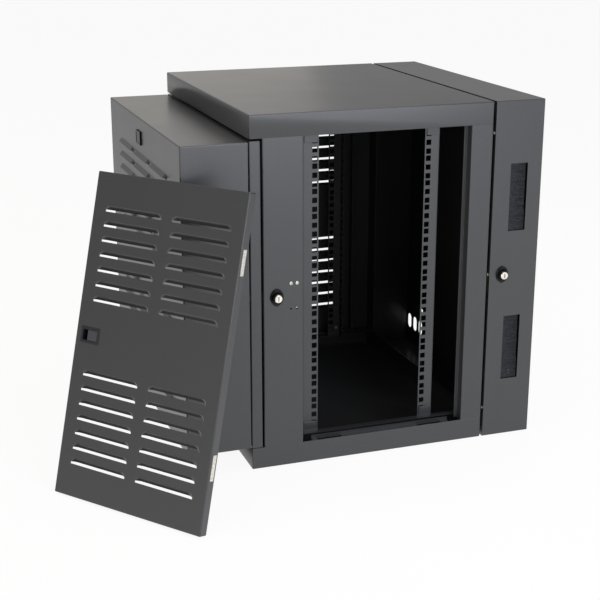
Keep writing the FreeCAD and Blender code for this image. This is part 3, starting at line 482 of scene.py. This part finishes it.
# ---- cable brushes ---------------------------------------------------------------------
def make_brush(side, draw):
    """Two rows of nylon filaments from the holder across a cable window."""
    low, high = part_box(f"brush_bristles_{side}")
    length, radius, spacing = high.y - low.y, 0.6 * MM, 1.1 * MM
    taper, uneven, splay = 0.45, 0.03, 0.8      # splay in degrees
    full, worn, reach_up = 1.0, 0.965, 0.3      # the upper filaments are a little shorter
    filament = add_disc("filament", (0, length / 2, 0), radius, length,
                        (math.radians(90), 0, 0), vertices=6)
    edit_faces(filament, lambda f: f.normal.y > 0.9)
    bpy.ops.transform.resize(value=(taper, 1, taper))
    leave_edit()
    rows = [low.x + radius, high.x - radius]
    count = int((high.z - low.z - 2 * radius) / spacing)
    tufts = []
    for index in range(count + 1):
        share = index / count
        longest = full if share < reach_up else worn
        for row, x in enumerate(rows):
            along = min(1, share + 0.5 * row / count)
            z = low.z + radius + along * (high.z - low.z - 2 * radius)
            stretch = longest - draw.uniform(0, uneven)
            tilt = math.radians(draw.uniform(-splay, splay)) * (0 < index < count)
            place = (Matrix.Translation((x, low.y, z)) @ Matrix.Rotation(tilt, 4, "X")
                     @ Matrix.Diagonal((1, stretch, 1, 1)))
            tufts.append(copy_of(filament, "filament", matrix=place))
    bpy.data.objects.remove(filament)
    brush = join(f"brush_filaments_{side}", tufts)
    smooth(brush, 70)
    hand_over(brush, "wall_section", "bristle", None, f"brush_bristles_{side}")


# ---- strike screws ---------------------------------------------------------------------
def make_strike_screws():
    """Pan heads with a cross recess, two on each front post."""
    low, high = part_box("strike_screws")
    radius, tall, dome = 3.4 * MM, 1.6 * MM, 1.0 * MM
    cross_deep, cross_wide, cross_long = 1.8 * MM, 0.9 * MM, 4.0 * MM
    head = add_disc("screw", (tall / 2, 0, 0), radius, tall, (0, math.radians(90), 0))
    edit_faces(head, lambda f: f.normal.x > 0.9)
    bpy.ops.mesh.bevel(offset=dome, segments=4, affect="EDGES")
    leave_edit()
    cut(head, add_block("slot", (tall, 0, 0), (cross_deep, cross_wide, cross_long)),
        add_block("slot", (tall, 0, 0), (cross_deep, cross_long, cross_wide)))
    heads = []
    for y in (low.y + radius, high.y - radius):
        z = (low.z + high.z) / 2
        heads.append(copy_of(head, "screw", (high.x - tall, y, z)))
        half_turn = Matrix.Translation((low.x + tall, y, z)) @ Matrix.Rotation(math.pi, 4, "Z")
        heads.append(copy_of(head, "screw", matrix=half_turn))
    bpy.data.objects.remove(head)
    screws = join("cross_recess_screws", heads)
    smooth(screws)
    hand_over(screws, "main_body", "zinc", None, "strike_screws")


# ---- spring clips on the panels' hook edges --------------------------------------------
CLIP_RISE = 165 * MM         # clip centre from the panel's middle
CLIP_MIDDLE = 8.5 * MM       # clip centre from the panel's face
CLIP_CREASES = ((7.5, 0.5), (-5.5, 0.0), (18.0, 0.0), (-18.0, 0.0))
CLIP_PRESSINGS = ((-4.0, 6.0, 0.35), (-22.0, -18.5, 0.25), (18.5, 22.0, 0.25))


def make_clip(up):
    """Spring strip with a pressed middle and a small foot at each end.

    A crease is its rise and slant. A pressing is where it starts and ends, and its height.
    """
    sheet, wide, long, border = 0.4 * MM, 9 * MM, 42 * MM, 0.7 * MM
    clip = add_block("clip", (PANEL_SIZE.y / 2 + sheet / 2, CLIP_MIDDLE, up), (sheet, wide, long))
    for rise, slant in CLIP_CREASES:
        edit_faces(clip, lambda f: True)
        bpy.ops.mesh.bisect(plane_co=(0, CLIP_MIDDLE, up + rise * MM), plane_no=(0, slant, 1))
        leave_edit()
    for low, high, push in CLIP_PRESSINGS:
        inset_and_push(clip, lambda f: f.normal.x > 0.99
                       and up + low * MM < f.calc_center_median().z < up + high * MM,
                       border, (push * MM, 0, 0))
    return clip


def make_clips(side):
    clips = join(f"spring_clips_{side}", [make_clip(-CLIP_RISE), make_clip(CLIP_RISE)])
    clips.data.transform(PANEL_FRAMES[side])
    hand_over(clips, f"{side}_panel", "zinc", "spring", f"panel_clips_{side}")


# ---- thumb ridge of the panel latches --------------------------------------------------
RIDGES = ((-111.6, 2.2, 15, 0.9), (-124.5, 1.0, 13, 0.4), (-121.5, 1.0, 13, 0.4))


def make_thumb_ridge(side):
    """Rounded ridge and two low ribs to push the latch by.

    A ridge is its place across the panel, width, length and height, in millimetres.
    """
    slider_face, sunk = -0.8, 0.6
    ribs = []
    for across, wide, tall, proud in RIDGES:
        rib = add_block("rib", (across * MM, (slider_face - proud / 2 + sunk / 2) * MM, 0),
                        (wide * MM, (proud + sunk) * MM, tall * MM))
        round_edges(rib, 0.35 * MM)
        ribs.append(rib)
    ridge = join(f"latch_thumb_ridge_{side}", ribs)
    ridge.data.transform(PANEL_FRAMES[side])
    smooth(ridge)
    hand_over(ridge, f"{side}_latch", "latch_grey")


# ---- sills and bearers at the side openings --------------------------------------------
# all in millimetres; the sills and bearers of the right side's lower edge, the rest mirrored
OPENING_Y = (-129, 183)            # front and rear edge of a side opening
SILL_Y = (-108, 163)               # ends of the sill, which leave a notch at each corner
SILL_X = (266.5, 283.8)            # lip's inner face to inside the pan's outer wall
SILL_Z = (35.1, 36.6)
SHEET = 1.5
LIP_HEIGHT = 6.4                   # above the sill
SLOTS_Y = ((-98, -51), (100, 147))
SLOT_X = (269, 283)
SLOT_Z = (30, 38)                  # the cutter's
PAN_EDGE = {"bottom_pan": 40, "top_cover": 595}
OLD_SILL_X = (265.5, 283.5)        # cut out of the pans
OLD_SILL_HALF_HEIGHT = 8
STRIP_X = (242, 254)
STRIP_Y = (-200, 223)
STRIP_Z = (40, 41.5)
WIDE_ENDS_Y = (-135, 189)          # the strip's ends reach out to the sills past these
WIDE_ENDS_REACH = 14
RAIL_OUTER = 243.5                 # outer face of the right rails' side flange
TAB_Y = ((-114, -90), (116, 140))
TAB_Z = (41, 60)


def mirrored(piece, name, axis, about=0.0):
    """A copy on the other side of the plane at the given place on an axis."""
    flip = Matrix.Scale(-1, 4, axis)
    made = copy_of(piece, name, matrix=Matrix.Translation(2 * about * axis) @ flip)
    edit_faces(made, lambda f: True)
    bpy.ops.mesh.normals_make_consistent(inside=False)
    leave_edit()
    return made


def block_between(name, *spans):
    """A block from its start and end along X, Y and Z, in millimetres."""
    low, high = (Vector(corner) * MM for corner in zip(*spans))
    return add_block(name, (low + high) / 2, high - low)


def make_sill():
    """Sunken sill with a low lip and two long slots, on the right of the bottom pan."""
    sill = block_between("sill", SILL_X, SILL_Y, SILL_Z)
    lip = (SILL_X[0] + SHEET) * MM
    edit_faces(sill, lambda f: f.normal.z > 0.99)
    bpy.ops.mesh.bisect(plane_co=(lip, 0, 0), plane_no=(1, 0, 0))
    leave_edit()
    edit_faces(sill, lambda f: f.normal.z > 0.99 and f.calc_center_median().x < lip)
    bpy.ops.mesh.extrude_region_move(TRANSFORM_OT_translate={"value": (0, 0, LIP_HEIGHT * MM)})
    leave_edit()
    cut(sill, *(block_between("slot", SLOT_X, span, SLOT_Z) for span in SLOTS_Y))
    return sill


def make_pans():
    """Bottom pan and top cover with the sills let in at the side openings."""
    right = make_sill()
    sills = [right, mirrored(right, "sill", RIGHT)]
    uppers = [mirrored(sill, "sill", UP, MIDDLE) for sill in sills]
    for node_name, name, lips in (("bottom_pan", "floor_pan", sills),
                                  ("top_cover", "roof_cover", uppers)):
        pan = copy_of(NODES[node_name], name)
        edit_faces(pan, lambda f: True)
        bpy.ops.mesh.remove_doubles(threshold=0.01 * MM)
        leave_edit()
        edge = PAN_EDGE[node_name]
        span_z = (edge - OLD_SILL_HALF_HEIGHT, edge + OLD_SILL_HALF_HEIGHT)
        for side in (1, -1):
            span_x = sorted(side * x for x in OLD_SILL_X)
            cut(pan, block_between("gap", span_x, OPENING_Y, span_z))
        pan = join(name, [pan] + lips)
        smooth(pan, 30)
        hand_over(pan, "main_body", "powder_coat", "body_coat", node_name)


def make_bearers():
    """Flat strips, wide-ended on the sills, with an upright tab at each rail's foot."""
    strip = block_between("bearer", STRIP_X, STRIP_Y, STRIP_Z)
    for y in (*WIDE_ENDS_Y, *TAB_Y[0], *TAB_Y[1]):
        edit_faces(strip, lambda f: True)
        bpy.ops.mesh.bisect(plane_co=(0, y * MM, 0), plane_no=(0, 1, 0))
        leave_edit()
    edit_faces(strip, lambda f: f.normal.x > 0.99
               and not WIDE_ENDS_Y[0] < f.calc_center_median().y / MM < WIDE_ENDS_Y[1])
    bpy.ops.mesh.extrude_region_move(
        TRANSFORM_OT_translate={"value": (WIDE_ENDS_REACH * MM, 0, 0)})
    leave_edit()
    tab_x = (RAIL_OUTER, RAIL_OUTER + SHEET)
    tabs = [block_between("tab", tab_x, span, TAB_Z) for span in TAB_Y]
    for tab in tabs:
        round_edges(tab, 0.5 * MM, 2)
    right = join("bearer", [strip] + tabs)
    for side, piece in (("right", right), ("left", mirrored(right, "bearer", RIGHT))):
        upper = mirrored(piece, f"bearer_strip_top_{side}", UP, MIDDLE)
        piece.name = f"bearer_strip_bottom_{side}"
        # painted shade: the left bearers, deep inside, take the near-black coat
        finish = "painted_shade_coat" if side == "left" else None
        hand_over(piece, "main_body", "powder_coat", finish, f"bearer_bottom_{side}")
        hand_over(upper, "main_body", "powder_coat", finish, f"bearer_top_{side}")


make_badge()
make_pans()
make_bearers()
strands = random.Random(12)
for side in ("lower", "upper"):
    make_brush(side, strands)
make_strike_screws()
for side in ("left", "right"):
    make_clips(side)
    make_thumb_ridge(side)


# ---- stage and lamps -------------------------------------------------------------------
AMBIENT = 0.36                     # strength of the world that lights the cabinet
AMBIENT_MIRRORED = 0.1             # how far reflections see it towards white
FLOOR_GLOW = 1.02                  # meets the world's white where the floor ends
FLOOR_WHITE = 0.9                  # the rest of what the camera sees of the floor is shadow


def make_stage():
    """Pale floor that shows white to the camera and keeps a faint shadow."""
    clear_selection()
    bpy.ops.mesh.primitive_plane_add(size=40, location=(0, 0, 0))
    floor = bpy.context.object
    floor.name = "floor"
    made, tree, shader, place = finish_of("pale_floor", "#f4f4f4", 0.9)
    tree.links.new(mottle(tree, place, 0.4, "#f2f2f2", "#f6f6f6"), shader.inputs["Base Color"])
    path = node(tree, "LightPath")
    # reflections find the floor paler on the right, as under a side lamp
    across = node(tree, "SeparateXYZ", {0: place})
    glow = node(tree, "MapRange", {"Value": across.outputs[0]},
                values={"From Min": -1.2, "From Max": 0.9, "To Min": 0.33, "To Max": 1.0})
    glossy = node(tree, "Math", {0: path.outputs["Is Glossy Ray"], 1: glow.outputs[0]},
                  operation="MULTIPLY")
    direct = node(tree, "Math", {0: path.outputs["Is Camera Ray"],
                                 1: path.outputs["Is Transmission Ray"]}, operation="MAXIMUM")
    camera = node(tree, "Math", {0: direct.outputs[0]}, operation="MULTIPLY",
                  values={1: FLOOR_WHITE})
    share = node(tree, "Math", {0: camera.outputs[0], 1: glossy.outputs[0]}, operation="MAXIMUM")
    white = node(tree, "Emission", values={"Strength": FLOOR_GLOW})
    mix = node(tree, "MixShader", {0: share.outputs[0], 1: shader.outputs[0], 2: white.outputs[0]})
    tree.links.new(mix.outputs[0], tree.nodes["Material Output"].inputs["Surface"])
    floor.data.materials.append(made)


def make_world():
    """Even grey studio light; the camera sees white and reflections a paler grey."""
    world = bpy.data.worlds.new("studio")
    world.use_nodes = True
    tree = world.node_tree
    path = node(tree, "LightPath")
    seen = node(tree, "Math", {0: path.outputs["Is Camera Ray"],
                               1: path.outputs["Is Transmission Ray"]}, operation="MAXIMUM")
    mirror = node(tree, "Math", {0: path.outputs["Is Glossy Ray"]}, operation="MULTIPLY",
                  values={1: AMBIENT_MIRRORED})
    share = node(tree, "Math", {0: seen.outputs[0], 1: mirror.outputs[0]}, operation="MAXIMUM")
    strength = node(tree, "MapRange", {"Value": share.outputs[0]},
                    values={"To Min": AMBIENT, "To Max": 1.0})
    tree.links.new(strength.outputs[0], tree.nodes["Background"].inputs["Strength"])
    tree.nodes["Background"].inputs["Color"].default_value = (1, 1, 1, 1)
    bpy.context.scene.world = world


def add_softbox(name, place, target, size, power, colour="#ffffff"):
    lamp = bpy.data.lights.new(name, "AREA")
    lamp.shape = "RECTANGLE"
    lamp.size, lamp.size_y = size
    lamp.energy = power
    lamp.color = hex_colour(colour)[:3]
    stand = bpy.data.objects.new(name, lamp)
    stand.location = place
    stand.rotation_euler = (Vector(target) - Vector(place)).to_track_quat("-Z", "Y").to_euler()
    bpy.context.scene.collection.objects.link(stand)


make_stage()
make_world()
add_softbox("overhead", (0.2, 0.0, 2.6), (0, 0, 0.3), (2.2, 2.2), 25, "#fff6ea")
add_softbox("right_side", (2.8, 0.5, 1.2), (0, 0, 0.3), (1.6, 2.0), 42, "#eef3ff")
add_softbox("front", (2.1, -2.7, 1.0), (0, 0, 0.3), (1.6, 1.6), 16, "#fff4e8")
add_softbox("back_left", (-2.8, 0.3, 1.2), (0, 0, 0.6), (1.3, 1.3), 2, "#fff4e8")
bpy.context.scene.view_settings.view_transform = "Standard"
